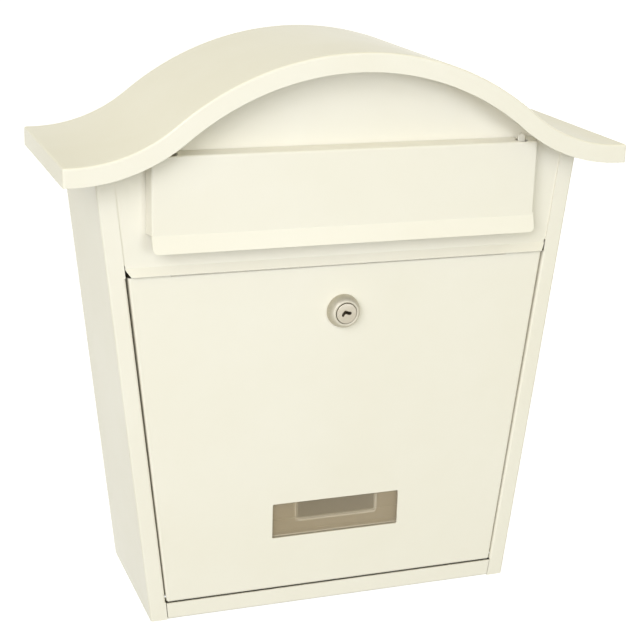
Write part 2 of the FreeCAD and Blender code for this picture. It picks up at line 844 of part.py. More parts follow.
os.makedirs("parts", exist_ok=True)
for name, build in nodes.items():
    shape = build()
    shape.exportStep("parts/%s.step" % name)
    print(name, "valid", shape.isValid(), "volume %.0f" % shape.Volume)
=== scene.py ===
import bmesh
import bpy
import math
from mathutils import Matrix, Vector


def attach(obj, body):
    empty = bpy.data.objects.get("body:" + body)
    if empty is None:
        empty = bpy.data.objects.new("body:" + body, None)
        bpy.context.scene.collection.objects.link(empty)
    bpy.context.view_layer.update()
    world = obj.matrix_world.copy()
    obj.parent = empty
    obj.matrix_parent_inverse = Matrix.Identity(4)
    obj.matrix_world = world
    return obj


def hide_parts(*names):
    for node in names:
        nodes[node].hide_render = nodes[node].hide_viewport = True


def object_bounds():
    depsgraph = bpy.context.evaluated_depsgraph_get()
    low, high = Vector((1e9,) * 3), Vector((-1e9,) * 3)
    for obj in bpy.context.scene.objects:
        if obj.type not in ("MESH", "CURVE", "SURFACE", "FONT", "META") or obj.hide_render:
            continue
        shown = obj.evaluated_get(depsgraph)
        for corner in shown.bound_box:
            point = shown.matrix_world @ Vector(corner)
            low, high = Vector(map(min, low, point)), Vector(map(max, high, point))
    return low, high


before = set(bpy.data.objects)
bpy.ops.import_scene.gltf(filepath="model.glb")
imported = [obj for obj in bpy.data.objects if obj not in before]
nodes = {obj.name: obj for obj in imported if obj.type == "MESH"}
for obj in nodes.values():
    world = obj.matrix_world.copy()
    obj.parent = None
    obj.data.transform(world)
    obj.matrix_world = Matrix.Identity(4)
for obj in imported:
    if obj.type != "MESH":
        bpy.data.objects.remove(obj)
cad_box = [list(corner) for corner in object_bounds()]

# Casing: the back, two leaning sides and the narrow front flanges, folded from one piece of 1 mm
# steel sheet, spot welded to the roof and powder coated cream. Everything else is fixed to it.

CREAM = (0.858, 0.828, 0.73)
CLOUD_TINT = (0.955, 0.945, 0.905, 1)
CLOUD_SIZE = 0.11
PEEL_HEIGHT = 0.0001
RIPPLE_TO_PEEL = 6.0
NIBS_PER_METRE = 42.0
NIB_TOP, NIB_FOOT = 0.012, 0.03  # as shares of the space between nibs
CORNERS_JOINED_WITHIN = 0.000004
FLAT_WITHIN_DEGREES = 0.3
CUT_EDGE_ROUNDING = 0.0003


def add_sockets(tree, direction, kinds):
    """Names the inputs or outputs of a node group, from a list of (name, kind)."""
    for name, kind in kinds:
        tree.interface.new_socket(name, in_out=direction, socket_type="NodeSocket" + kind)


def feed(tree, socket, value):
    """Links a socket to another, or writes a plain value in it."""
    if isinstance(value, bpy.types.NodeSocket):
        tree.links.new(value, socket)
    elif value is not None:
        socket.default_value = value


def add_node(tree, kind, values, **settings):
    """Adds a node with its settings and named inputs filled in, and gives its outputs."""
    node = tree.nodes.new(kind)
    for setting, value in settings.items():
        setattr(node, setting, value)
    for name, value in values.items():
        feed(tree, node.inputs[name], value)
    return node.outputs


def maths(tree, operation, *values, kind="ShaderNodeMath"):
    """Result of one arithmetic node."""
    node = tree.nodes.new(kind)
    node.operation = operation
    for socket, value in zip(node.inputs, values):
        feed(tree, socket, value)
    return node.outputs[0]


def place_on_piece(tree):
    """Where each point of the surface lies on its own piece."""
    return tree.nodes.new("ShaderNodeTexCoord").outputs["Object"]


def noise(tree, place, size, detail=2.0, roughness=0.5):
    """Soft noise whose grain is about size across, from 0 to 1."""
    return add_node(tree, "ShaderNodeTexNoise", {
        "Vector": place, "Scale": maths(tree, "DIVIDE", 1.0, size),
        "Detail": detail, "Roughness": roughness})["Fac"]


def spread(tree, value, low, high, to_low, to_high):
    """Maps the stretch low to high onto to_low to to_high, and holds it at the ends."""
    return add_node(tree, "ShaderNodeMapRange", {
        "Value": value, "From Min": low, "From Max": high, "To Min": to_low, "To Max": to_high})["Result"]


def tinted(tree, colour, tint, amount):
    """Colour multiplied by a tint, as far as amount says."""
    return add_node(tree, "ShaderNodeMix", {"Factor": amount, "A": colour, "B": tint},
                    data_type="RGBA", blend_type="MULTIPLY")["Result"]


def relief(tree, height, strength, depth):
    """Normal of a surface raised by height times depth."""
    return add_node(tree, "ShaderNodeBump", {
        "Height": height, "Strength": strength, "Distance": depth})["Normal"]


def surface_effect(name, kinds):
    """Shared effect with the named inputs and the three outputs that a finish takes from it."""
    tree = bpy.data.node_groups.new(name, "ShaderNodeTree")
    add_sockets(tree, "INPUT", kinds)
    add_sockets(tree, "OUTPUT", (("Colour", "Color"), ("Roughness", "Float"), ("Normal", "Vector")))
    return tree, tree.nodes.new("NodeGroupInput").outputs


def powder_coat_effect():
    """Cured powder paint: fine orange peel, longer ripples, faint clouds and a few dust nibs."""
    tree, given = surface_effect("powder_coat", (
        ("Paint", "Color"), ("Peel size", "Float"), ("Peel strength", "Float"),
        ("Cloudiness", "Float"), ("Dullness", "Float"), ("Seed", "Float")))
    place = maths(tree, "ADD", place_on_piece(tree), given["Seed"], kind="ShaderNodeVectorMath")
    peel = noise(tree, place, given["Peel size"], 1.5)
    ripple = noise(tree, place, maths(tree, "MULTIPLY", given["Peel size"], RIPPLE_TO_PEEL), 1.0)
    nibs = add_node(tree, "ShaderNodeTexVoronoi", {"Vector": place, "Scale": NIBS_PER_METRE})
    nib = spread(tree, nibs["Distance"], NIB_TOP, NIB_FOOT, 1.0, 0.0)
    height = maths(tree, "ADD", peel, maths(tree, "ADD", ripple, nib))
    cloud = noise(tree, place, CLOUD_SIZE, 4.0, 0.6)
    clouds = maths(tree, "MULTIPLY", spread(tree, cloud, 0.35, 0.7, 0.0, 1.0), given["Cloudiness"])
    add_node(tree, "NodeGroupOutput", {
        "Colour": tinted(tree, given["Paint"], CLOUD_TINT, clouds),
        "Roughness": maths(tree, "ADD", given["Dullness"], spread(tree, cloud, 0.3, 0.7, -0.03, 0.05)),
        "Normal": relief(tree, height, given["Peel strength"], PEEL_HEIGHT)})
    return tree


powder_coat = powder_coat_effect()


def new_finish(name, plain):
    """Material with its shader's plain values, and with it its tree and that shader's inputs."""
    material = bpy.data.materials.new(name)
    material.use_nodes = True
    look = material.node_tree.nodes["Principled BSDF"].inputs
    for socket, value in plain.items():
        look[socket].default_value = value
    return material, material.node_tree, look


def apply_effect(tree, look, effect, values):
    """Places a shared effect in a material, with its own values."""
    node = tree.nodes.new("ShaderNodeGroup")
    node.node_tree = effect
    for socket, value in values.items():
        node.inputs[socket].default_value = value
    feed(tree, look["Base Color"], node.outputs["Colour"])
    feed(tree, look["Roughness"], node.outputs["Roughness"])
    feed(tree, look["Normal"], node.outputs["Normal"])


def cream_paint(name, seed, peel=0.0021, strength=0.10):
    """Cream powder coat for one folded piece, with its own place in the pattern."""
    material, tree, look = new_finish(name, {
        "Specular IOR Level": 0.3, "Coat Weight": 0.3, "Coat Roughness": 0.10})
    apply_effect(tree, look, powder_coat, {
        "Paint": (*CREAM, 1), "Peel size": peel, "Peel strength": strength,
        "Cloudiness": 0.5, "Dullness": 0.36, "Seed": seed})
    return material


def placed(name, data):
    """Object with the given data, put in the scene."""
    thing = bpy.data.objects.new(name, data)
    bpy.context.scene.collection.objects.link(thing)
    return thing


def solid_copy(node, name):
    """Copy of a carried-over solid, with its corners joined and its flat faces in one."""
    piece = placed(name, nodes[node].data.copy())
    piece.data.materials.clear()
    shape = bmesh.new()
    shape.from_mesh(piece.data)
    bmesh.ops.remove_doubles(shape, verts=shape.verts, dist=CORNERS_JOINED_WITHIN)
    bmesh.ops.dissolve_limit(shape, angle_limit=math.radians(FLAT_WITHIN_DEGREES),
                             verts=shape.verts, edges=shape.edges)
    shape.to_mesh(piece.data)
    shape.free()
    piece.data.shade_smooth()
    return piece


def soften_edges(piece, width, from_angle=50):
    """Rounds the cut edges a little and keeps the flats flat in the light."""
    bevel = piece.modifiers.new("soft_edges", "BEVEL")
    bevel.width = width
    bevel.segments = 2
    bevel.limit_method = "ANGLE"
    bevel.angle_limit = math.radians(from_angle)
    bevel.use_clamp_overlap = True
    flats = piece.modifiers.new("flat_faces", "WEIGHTED_NORMAL")
    flats.weight = 80
    flats.keep_sharp = True


def painted_sheet(node, body, paint):
    """Folded and painted sheet piece that stands for its solid."""
    piece = solid_copy(node, node + "_painted")
    piece.data.materials.append(paint)
    soften_edges(piece, CUT_EDGE_ROUNDING)
    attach(piece, body)
    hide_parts(node)


painted_sheet("casing_shell", "box", cream_paint("casing_cream", 0.0))

# Bottom panel: the floor of the box, whose front edge is folded up as the strip below the door.
# It is let in between the sides, welded to them and coated with them.

painted_sheet("bottom_panel", "box", cream_paint("floor_cream", 1.7))

# Upper front panel: the gable over the door, lapped behind the flanges, with the letter opening,
# the drip lip that sheds rain over the door's top edge, and two hooks bent out for the flap.

painted_sheet("upper_front_panel", "box", cream_paint("gable_cream", 3.1))

# Roof: one 1 mm sheet rolled to a wave, a crown between two upward sweeps, with its front and
# both ends folded down. It overhangs the front and is welded to the tops of the walls.

SHEET = 0.001
ROOF_WIDTH = 0.365
ROOF_DEPTH = 0.1329
ROOF_PEAK = 0.37096  # a hair under the solid's, to stay inside its box
ROOF_END = 0.3086
CROWN_RADIUS = 0.185
FLAT_END = 0.005
HANGING_EDGE = 0.0119
FOLD_RADIUS = 0.0014
ROOF_EDGE_ROUNDING = 0.00018
SAME_PLACE = 0.00001


def point_parts(tree):
    """The x, y and z of each point of the mesh as it is at that step."""
    return add_node(tree, "ShaderNodeSeparateXYZ",
                    {"Vector": tree.nodes.new("GeometryNodeInputPosition").outputs[0]})


def wave_roof_tree():
    """Outer skin of a wave roof, from its sizes. Heights are above the box's bottom edge."""
    tree = bpy.data.node_groups.new("wave_roof", "GeometryNodeTree")
    add_sockets(tree, "INPUT", (
        ("Width", "Float"), ("Depth", "Float"), ("Peak height", "Float"), ("End height", "Float"),
        ("Crown radius", "Float"), ("Flat end", "Float"), ("Hanging edge", "Float"),
        ("Bottom", "Float"), ("Columns", "Int"), ("Rows", "Int"), ("Paint", "Material")))
    add_sockets(tree, "OUTPUT", (("Skin", "Geometry"),))
    given = tree.nodes.new("NodeGroupInput").outputs

    def calc(operation, *values):
        return maths(tree, operation, *values)

    def square(value):
        return calc("POWER", value, 2.0)

    # Crown and sweep share a tangent, so both radii together follow from the rise and the run.
    half = calc("MULTIPLY", given["Width"], 0.5)
    wave_end = calc("SUBTRACT", half, given["Flat end"])
    rise = calc("SUBTRACT", given["Peak height"], given["End height"])
    both_radii = calc("DIVIDE", calc("ADD", square(wave_end), square(rise)), calc("MULTIPLY", rise, 2.0))
    crown = given["Crown radius"]
    sweep = calc("SUBTRACT", both_radii, crown)
    turning_point = calc("DIVIDE", calc("MULTIPLY", wave_end, crown), both_radii)

    # A flat grid, whose rows go from the wall to the front. The last one becomes the hanging edge.
    grid = add_node(tree, "GeometryNodeMeshGrid", {
        "Size X": given["Width"], "Size Y": 1.0, "Vertices X": given["Columns"],
        "Vertices Y": calc("ADD", given["Rows"], 2.0)})["Mesh"]
    flat = point_parts(tree)
    aside = calc("ABSOLUTE", flat["X"])
    row = calc("MULTIPLY", calc("ADD", flat["Y"], 0.5), calc("ADD", given["Rows"], 1.0))
    forward = calc("MINIMUM", calc("DIVIDE", row, given["Rows"]), 1.0)
    on_edge = calc("MAXIMUM", calc("SUBTRACT", row, given["Rows"]), 0.0)
    drop = calc("MULTIPLY", on_edge, given["Hanging edge"])

    def height_of_arc(radius, run):
        return calc("SQRT", calc("SUBTRACT", square(radius), square(run)))

    def crown_or_sweep(of_crown, of_sweep):
        return add_node(tree, "GeometryNodeSwitch", {
            "Switch": calc("LESS_THAN", aside, turning_point), "False": of_sweep, "True": of_crown},
            input_type="FLOAT")["Output"]

    # Height and slope of the wave over each point. The hanging edge drops square to the wave.
    reach = calc("MAXIMUM", calc("SUBTRACT", wave_end, aside), 0.0)
    crown_top = calc("ADD", calc("SUBTRACT", given["Peak height"], crown), height_of_arc(crown, aside))
    sweep_top = calc("SUBTRACT", calc("ADD", given["End height"], sweep), height_of_arc(sweep, reach))
    height = calc("SUBTRACT", crown_or_sweep(crown_top, sweep_top), given["Bottom"])
    lean = crown_or_sweep(calc("DIVIDE", aside, crown), calc("DIVIDE", reach, sweep))
    level = calc("SQRT", calc("SUBTRACT", 1.0, square(lean)))
    outward = calc("MULTIPLY", calc("SIGN", flat["X"]), lean)
    bent = add_node(tree, "ShaderNodeCombineXYZ", {
        "X": calc("SUBTRACT", flat["X"], calc("MULTIPLY", outward, drop)),
        "Y": calc("MULTIPLY", forward, calc("MULTIPLY", given["Depth"], -1.0)),
        "Z": calc("SUBTRACT", height, calc("MULTIPLY", level, drop))})["Vector"]
    wave = add_node(tree, "GeometryNodeSetPosition", {"Geometry": grid, "Position": bent})["Geometry"]

    # Both ends hang straight down.
    now = point_parts(tree)
    at_tip = calc("GREATER_THAN", calc("ABSOLUTE", now["X"]), calc("SUBTRACT", half, SAME_PLACE))
    end_level = calc("SUBTRACT", calc("SUBTRACT", given["End height"], given["Bottom"]), SAME_PLACE)
    on_top = calc("GREATER_THAN", now["Z"], end_level)
    down = add_node(tree, "ShaderNodeCombineXYZ", {"Z": calc("MULTIPLY", given["Hanging edge"], -1.0)})
    ends = add_node(tree, "GeometryNodeExtrudeMesh", {
        "Mesh": wave, "Selection": calc("MULTIPLY", at_tip, on_top), "Offset": down["Vector"],
        "Offset Scale": 1.0}, mode="EDGES")["Mesh"]
    joined = add_node(tree, "GeometryNodeMergeByDistance", {"Geometry": ends, "Distance": SAME_PLACE})
    plain = add_node(tree, "GeometryNodeRealizeInstances", {"Geometry": joined["Geometry"]})
    coated = add_node(tree, "GeometryNodeSetMaterial", {
        "Geometry": plain["Geometry"], "Material": given["Paint"]})
    add_node(tree, "NodeGroupOutput", {"Skin": coated["Geometry"]})
    return tree


def plain_mesh(piece):
    """Mesh of a piece as its modifiers leave it."""
    return bpy.data.meshes.new_from_object(piece.evaluated_get(bpy.context.evaluated_depsgraph_get()))


def grown(name, tree, values):
    """Plain mesh object made by a geometry node tree with the given named inputs."""
    piece = placed(name, bpy.data.meshes.new(name + "_seed"))
    growth = piece.modifiers.new("growth", "NODES")
    growth.node_group = tree
    for item in tree.interface.items_tree:
        if item.item_type == "SOCKET" and item.in_out == "INPUT" and item.name in values:
            growth[item.identifier] = values[item.name]
    shape = plain_mesh(piece)
    piece.modifiers.remove(growth)
    shape.name = name
    piece.data = shape
    return piece


roof = grown("roof_wave", wave_roof_tree(), {
    "Width": ROOF_WIDTH, "Depth": ROOF_DEPTH, "Peak height": ROOF_PEAK, "End height": ROOF_END,
    "Crown radius": CROWN_RADIUS, "Flat end": FLAT_END, "Hanging edge": HANGING_EDGE,
    "Bottom": -cad_box[0][2], "Columns": 147, "Rows": 10,
    "Paint": cream_paint("roof_cream", 4.9, peel=0.0024, strength=0.12)})
skin = bmesh.new()
skin.from_mesh(roof.data)
bmesh.ops.recalc_face_normals(skin, faces=skin.faces)
if sum(face.normal.z for face in skin.faces) < 0:
    bmesh.ops.reverse_faces(skin, faces=skin.faces)
skin.to_mesh(roof.data)
skin.free()
roof.data.shade_smooth()
fold = roof.modifiers.new("folds", "BEVEL")
fold.width = FOLD_RADIUS
fold.segments = 5
fold.limit_method = "ANGLE"
fold.angle_limit = math.radians(45)
wall = roof.modifiers.new("sheet", "SOLIDIFY")
wall.thickness = SHEET
wall.offset = -1
wall.use_even_offset = True
soften_edges(roof, ROOF_EDGE_ROUNDING, from_angle=60)
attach(roof, "box")
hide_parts("roof_cover")

# Letter flap: a pressed tray that hangs on the two hooks by the slots in its top fold. Its top
# and sides splay back towards the panel, and the finger lip is kicked out along the bottom.

painted_sheet("letter_flap", "flap", cream_paint("flap_cream", 6.3))

# Door: a pan with deep side returns and a hemmed top edge. It drops open on two pins at its foot
# and has the lock's hole and the name window punched in its face.

painted_sheet("door_panel", "door", cream_paint("door_cream", 8.8))

# Hinge pins: bright zinc plated rivets through the turned edges of the flanges. The door's side
# returns swing on their shanks.

ZINC = (0.66, 0.67, 0.68)
TARNISH_TINT = (0.80, 0.76, 0.68, 1)
TARNISH_SIZE = 0.006
LINE_WIDTH = 0.0004
LINE_DEPTH = 0.00002


def plating_effect():
    """Plated metal: faint clouds in the plating and fine drawn lines."""
    tree, given = surface_effect("plating", (
        ("Metal", "Color"), ("Dullness", "Float"), ("Line strength", "Float"),
        ("Line direction", "Vector"), ("Tarnish", "Float")))
    place = place_on_piece(tree)
    drawn = maths(tree, "MULTIPLY", place, given["Line direction"], kind="ShaderNodeVectorMath")
    lines = noise(tree, drawn, LINE_WIDTH, 3.0)
    cloud = noise(tree, place, TARNISH_SIZE, 4.0, 0.6)
    stain = maths(tree, "MULTIPLY", spread(tree, cloud, 0.45, 0.75, 0.0, 1.0), given["Tarnish"])
    rough = maths(tree, "ADD", given["Dullness"], spread(tree, cloud, 0.3, 0.7, -0.05, 0.08))
    add_node(tree, "NodeGroupOutput", {
        "Colour": tinted(tree, given["Metal"], TARNISH_TINT, stain),
        "Roughness": maths(tree, "ADD", rough, spread(tree, lines, 0.3, 0.7, -0.03, 0.05)),
        "Normal": relief(tree, lines, given["Line strength"], LINE_DEPTH)})
    return tree


plating = plating_effect()


def plated(name, metal, dullness, lines=0.25, direction=(1.0, 1.0, 1.0), tarnish=0.35):
    """Plated metal of one finish."""
    material, tree, look = new_finish(name, {"Metallic": 1.0})
    apply_effect(tree, look, plating, {
        "Metal": (*metal, 1), "Dullness": dullness, "Line strength": lines,
        "Line direction": direction, "Tarnish": tarnish})
    return material


def finish_solid(node, material):
    """Gives a carried-over solid its finish."""
    nodes[node].data.materials.clear()
    nodes[node].data.materials.append(material)


pin_zinc = plated("pin_zinc", ZINC, 0.30)
finish_solid("door_hinge_pin_left", pin_zinc)
finish_solid("door_hinge_pin_right", pin_zinc)

# Name pocket: one clear moulding stuck behind the window, two leaves joined below and at the
# ends with room for a card between them. The rear leaf's finger cut has a rim turned back.

# Depths are behind the door's front face, and heights are above the wall holes' middle.
FACE = -0.1085
POCKET_REACH = 0.0493
POCKET_LOW = -0.0861
POCKET_HIGH = -0.0518
POCKET_FRONT, POCKET_BACK = 0.001, 0.0048
POCKET_WALL = 0.0012
CARD_FRONT, CARD_BACK = 0.0022, 0.0036
CARD_REST = -0.0811
FINGER_LEFT, FINGER_RIGHT = -0.0256, 0.0296
FINGER_LOW = -0.0716
FINGER_CORNER = 0.0012
CORNER_STEPS = 6
RIM_WALL = 0.0012
RIM_DEPTH = 0.0078
OVERLAP = 0.0004
CLEARANCE = 0.001
MOULDED_ROUNDING = 0.00045
PLASTIC_IOR = 1.49


def bridge(shape, ring, next_ring):
    """Closed band of faces between two rings of corners."""
    for i in range(len(ring)):
        j = (i + 1) % len(ring)
        shape.faces.new((ring[i], ring[j], next_ring[j], next_ring[i]))


def meshed(name, shape):
    """Piece made from a closed shape, with its faces turned outwards."""
    bmesh.ops.recalc_face_normals(shape, faces=shape.faces)
    piece = placed(name, bpy.data.meshes.new(name))
    shape.to_mesh(piece.data)
    shape.free()
    return piece


def board(name, outline, near, far):
    """Closed board from an outline of (x, z) points, between two depths behind the door's face."""
    shape = bmesh.new()
    front = [shape.verts.new((x, FACE + near, z)) for x, z in outline]
    rear = [shape.verts.new((x, FACE + far, z)) for x, z in outline]
    bridge(shape, front, rear)
    shape.faces.new(front[::-1])
    shape.faces.new(rear)
    return meshed(name, shape)


def rectangle(left, right, low, high):
    """Outline of an upright rectangle."""
    return [(left, low), (right, low), (right, high), (left, high)]


def finger_outline(grow, high):
    """Outline of the finger cut, open at the top edge and rounded in its two lower corners."""
    left, right, low = FINGER_LEFT - grow, FINGER_RIGHT + grow, FINGER_LOW - grow
    radius = FINGER_CORNER + grow
    points = [(left, high)]
    for middle, start in ((left + radius, math.pi), (right - radius, 1.5 * math.pi)):
        for i in range(CORNER_STEPS + 1):
            angle = start + math.pi / 2 * i / CORNER_STEPS
            points.append((middle + radius * math.cos(angle), low + radius + radius * math.sin(angle)))
    return points + [(right, high)]


def carve(piece, cuts):
    """Joins other boards to a piece or cuts them from it, and leaves one plain mesh."""
    for operation, tool in cuts:
        cut = piece.modifiers.new(tool.name, "BOOLEAN")
        cut.operation = operation
        cut.solver = "EXACT"
        cut.object = tool
    carved = plain_mesh(piece)
    piece.modifiers.clear()
    piece.data = carved
    for operation, tool in cuts:
        bpy.data.objects.remove(tool)


def clear_plastic():
    """Clear sheet plastic with slow waves in its surface. Its amber colour is painted light for the warm,
    dim inside of the box seen through the pocket.
    """
    material, tree, look = new_finish("pocket_clear", {
        # The amber base colour, shown by the plastic's diffuse part, is painted light: the warm, dimly lit
        # inside of the box behind the window.
        "Base Color": (0.95, 0.78, 0.53, 1), "IOR": PLASTIC_IOR, "Specular Tint": (1.0, 0.90, 0.70, 1),
        "Transmission Weight": 0.25, "Alpha": 0.15})
    place = place_on_piece(tree)
    feed(tree, look["Roughness"], spread(tree, noise(tree, place, 0.012, 4.0), 0.3, 0.7, 0.05, 0.16))
    feed(tree, look["Normal"], relief(tree, noise(tree, place, 0.02, 1.0), 0.05, 0.001))
    return material


def frosted_edge():
    """The plastic's moulded edges, frosted and paler than its faces."""
    material, tree, look = new_finish("pocket_edge", {"IOR": PLASTIC_IOR, "Transmission Weight": 0.05})
    grit = noise(tree, place_on_piece(tree), 0.0006, 3.0)
    feed(tree, look["Base Color"], tinted(tree, (0.98, 0.96, 0.88, 1), (0.95, 0.93, 0.88, 1), grit))
    feed(tree, look["Roughness"], spread(tree, grit, 0.3, 0.7, 0.35, 0.55))
    feed(tree, look["Normal"], relief(tree, grit, 0.2, 0.00005))
    return material


pocket = board("name_pocket", rectangle(-POCKET_REACH, POCKET_REACH, POCKET_LOW, POCKET_HIGH),
               POCKET_FRONT, POCKET_BACK)
room_reach = POCKET_REACH - POCKET_WALL
above = POCKET_HIGH + CLEARANCE
card_room = board("card_room", rectangle(-room_reach, room_reach, CARD_REST, above), CARD_FRONT, CARD_BACK)
rim = board("rim", finger_outline(RIM_WALL, POCKET_HIGH), CARD_BACK + OVERLAP, RIM_DEPTH)
finger_room = board("finger_room", finger_outline(0, above), CARD_BACK - OVERLAP, RIM_DEPTH + CLEARANCE)
carve(pocket, (("DIFFERENCE", card_room), ("UNION", rim), ("DIFFERENCE", finger_room)))
pocket.data.materials.clear()
pocket.data.materials.append(clear_plastic())
pocket.data.materials.append(frosted_edge())
pocket.data.shade_smooth()
soften_edges(pocket, MOULDED_ROUNDING)
pocket.modifiers["soft_edges"].material = 1
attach(pocket, "door")
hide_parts("label_pocket")

# Lock rosette and barrel: one zinc die casting with a domed collar in front of the door and a
# threaded barrel with two flats behind it, satin nickel plated.

COLLAR_NICKEL = (0.565, 0.53, 0.43)
LOCK_HEIGHT = 0.0733
# Radii are about the lock's axis, and the other sizes run along it from the door's face.
RIM_RADIUS = 0.0110
RIM_FOOT = 0.0007
RIM_TOP = 0.0009
DOME_PULL = (0.0102, 0.0062)
CROWN_TOP_RADIUS = 0.0078
CROWN_PROUD = 0.0073
MOUTH_RADIUS = 0.0070
MOUTH_EDGE = 0.0069
SEAT, SEAT_RIM = 0.0052, 0.0053
SMALL_EDGE = 0.0003
BORE_RADIUS = 0.00585
BARREL_RADIUS = 0.009
BARREL_HALF_FLAT = 0.008
BARREL_LENGTH = 0.013
THREAD_START = 0.005
THREAD_PITCH = 0.0010
THREAD_DEPTH = 0.00045
SAME_CORNER = 0.000002
TURN_STEPS = 96


def on_lock(radius, angle, out):
    """Point around the lock's axis, out in front of the door's face."""
    return (radius * math.cos(angle), FACE - out, LOCK_HEIGHT + radius * math.sin(angle))


def turned(profile):
    """Shape turned round the lock's axis from (radius, out) pairs, and its rings of corners.

    A radius is a number, or a function that gives it for each angle."""
    shape = bmesh.new()
    rings = []
    for radius, out in profile:
        ring = []
        for i in range(TURN_STEPS):
            angle = 2 * math.pi * i / TURN_STEPS
            here = radius(angle) if callable(radius) else radius
            ring.append(shape.verts.new(on_lock(here, angle, out)))
        rings.append(ring)
    for ring, next_ring in zip(rings, rings[1:]):
        bridge(shape, ring, next_ring)
    return shape, rings


def curve_through(start, pull, end, steps):
    """Points on a bowed line from start to end, drawn towards pull."""
    points = []
    for i in range(steps + 1):
        t = i / steps
        points.append(tuple(a * (1 - t) ** 2 + 2 * b * t * (1 - t) + c * t**2
                            for a, b, c in zip(start, pull, end)))
    return points


def barrel_line(radius):
    """Radius of the barrel at an angle, with its two flats."""
    def at(angle):
        across = abs(math.cos(angle))
        return min(radius, BARREL_HALF_FLAT / across) if across > 0.01 else radius
    return at


dome = curve_through((RIM_RADIUS, RIM_TOP), DOME_PULL, (CROWN_TOP_RADIUS + SMALL_EDGE, CROWN_PROUD), 14)
mouth = curve_through((CROWN_TOP_RADIUS, CROWN_PROUD), (MOUTH_RADIUS, CROWN_PROUD),
                      (MOUTH_RADIUS, MOUTH_EDGE), 4)
foot = curve_through((RIM_RADIUS, RIM_FOOT), (RIM_RADIUS, 0.0), (RIM_RADIUS - SMALL_EDGE, 0.0), 4)
thread_root = BARREL_RADIUS - THREAD_DEPTH
half_turns = int((BARREL_LENGTH - THREAD_START) / THREAD_PITCH * 2)

# Seat of the plug, mouth, dome and foot, then the plain barrel, its thread, its end and the bore.
profile = [(BORE_RADIUS, SEAT), (MOUTH_RADIUS, SEAT_RIM)] + mouth[::-1] + dome[::-1] + foot
profile += [(barrel_line(BARREL_RADIUS), 0.0), (barrel_line(BARREL_RADIUS), -THREAD_START)]
for i in range(1, half_turns):
    radius = thread_root if i % 2 else BARREL_RADIUS
    profile.append((barrel_line(radius), -THREAD_START - i * THREAD_PITCH / 2))
profile += [(barrel_line(thread_root), -BARREL_LENGTH + SMALL_EDGE),
            (barrel_line(thread_root - SMALL_EDGE), -BARREL_LENGTH),
            (BORE_RADIUS, -BARREL_LENGTH), (BORE_RADIUS, SEAT)]
casting, rings = turned(profile)
bmesh.ops.remove_doubles(casting, verts=casting.verts, dist=SAME_CORNER)
collar = meshed("lock_collar", casting)
collar.data.shade_smooth()
collar.data.set_sharp_from_angle(angle=math.radians(40))
collar.data.materials.append(plated("collar_nickel", COLLAR_NICKEL, 0.62, lines=0.15, tarnish=0.3))
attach(collar, "door")
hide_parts("lock_body")

# Lock plug: the turning core, its face flush in the collar's mouth and cut with a waved keyway.
# Behind the barrel it ends in a square for the cam.

CORE_NICKEL = (0.50, 0.455, 0.365)
PLUG_RADIUS = 0.0058
PLUG_HEAD_RADIUS = 0.0067
PLUG_HEAD = 0.0014
PLUG_PROUD = 0.0076
PLUG_EDGE = 0.0004
PLUG_LENGTH = 0.0131
SQUARE = 0.006
SQUARE_LENGTH = 0.002
SQUARE_START = PLUG_LENGTH - 0.0002
KEYWAY_WIDTH = 0.0066
KEYWAY_DEPTH = 0.009
KEYWAY_STEPS = 24
KEYWAY_EDGE = 0.0002
KEYWAY_FLARE = (1.03, 1.06)
# Upper and lower edge of the keyway, at even steps across it.
KEYWAY_HIGH = (0.0000, 0.0011, 0.0021, 0.0018, 0.0013, 0.0012, 0.0009)
KEYWAY_LOW = (-0.0018, -0.0020, -0.0004, -0.0004, -0.0009, -0.0010, -0.0006)


def along_row(row, share):
    """Height between evenly spaced ones, eased from each to the next."""
    spot = share * (len(row) - 1)
    at = min(int(spot), len(row) - 2)
    ease = (1 - math.cos(math.pi * (spot - at))) / 2
    return row[at] + (row[at + 1] - row[at]) * ease


def keyway_outline():
    """Key slot round the plug's axis as (x, z) pairs: an arch with a ward rising under it."""
    upper, lower = [], []
    for i in range(KEYWAY_STEPS + 1):
        share = i / KEYWAY_STEPS
        x = (share - 0.5) * KEYWAY_WIDTH
        high, low = along_row(KEYWAY_HIGH, share), along_row(KEYWAY_LOW, share)
        blunt = math.sqrt(max(0.0, 1 - abs(2 * share - 1) ** 8))
        middle = (high + low) / 2
        upper.append((x, middle + (high - middle) * blunt))
        lower.append((x, middle + (low - middle) * blunt))
    return lower[:-1] + upper[:0:-1]


def ring_on_plug(shape, outline, out):
    """Ring of corners round the plug's axis from (x, z) pairs."""
    return [shape.verts.new((x, FACE - out, LOCK_HEIGHT + z)) for x, z in outline]


def ring_edges(shape, ring):
    """Edges of a closed ring of corners, made where they are missing."""
    return [shape.edges.get(pair) or shape.edges.new(pair) for pair in zip(ring, ring[1:] + ring[:1])]


head_back = PLUG_PROUD - PLUG_HEAD
head_edge = curve_through((PLUG_HEAD_RADIUS, PLUG_PROUD - PLUG_EDGE), (PLUG_HEAD_RADIUS, PLUG_PROUD),
                          (PLUG_HEAD_RADIUS - PLUG_EDGE, PLUG_PROUD), 3)
core, rings = turned([(SQUARE / 2, -PLUG_LENGTH), (PLUG_RADIUS, -PLUG_LENGTH), (PLUG_RADIUS, head_back),
                      (PLUG_HEAD_RADIUS, head_back)] + head_edge)
keyway = keyway_outline()
flared = [(x * KEYWAY_FLARE[0], z * KEYWAY_FLARE[1]) for x, z in keyway]
slot = [ring_on_plug(core, flared, PLUG_PROUD), ring_on_plug(core, keyway, PLUG_PROUD - KEYWAY_EDGE),
        ring_on_plug(core, keyway, PLUG_PROUD - KEYWAY_DEPTH)]
for ring, next_ring in zip(slot, slot[1:]):
    bridge(core, ring, next_ring)
core.faces.new(slot[-1])
face_edges = ring_edges(core, rings[-1]) + ring_edges(core, slot[0])
bmesh.ops.triangle_fill(core, use_beauty=True, use_dissolve=False, edges=face_edges)
core.faces.new(rings[0][::-1])
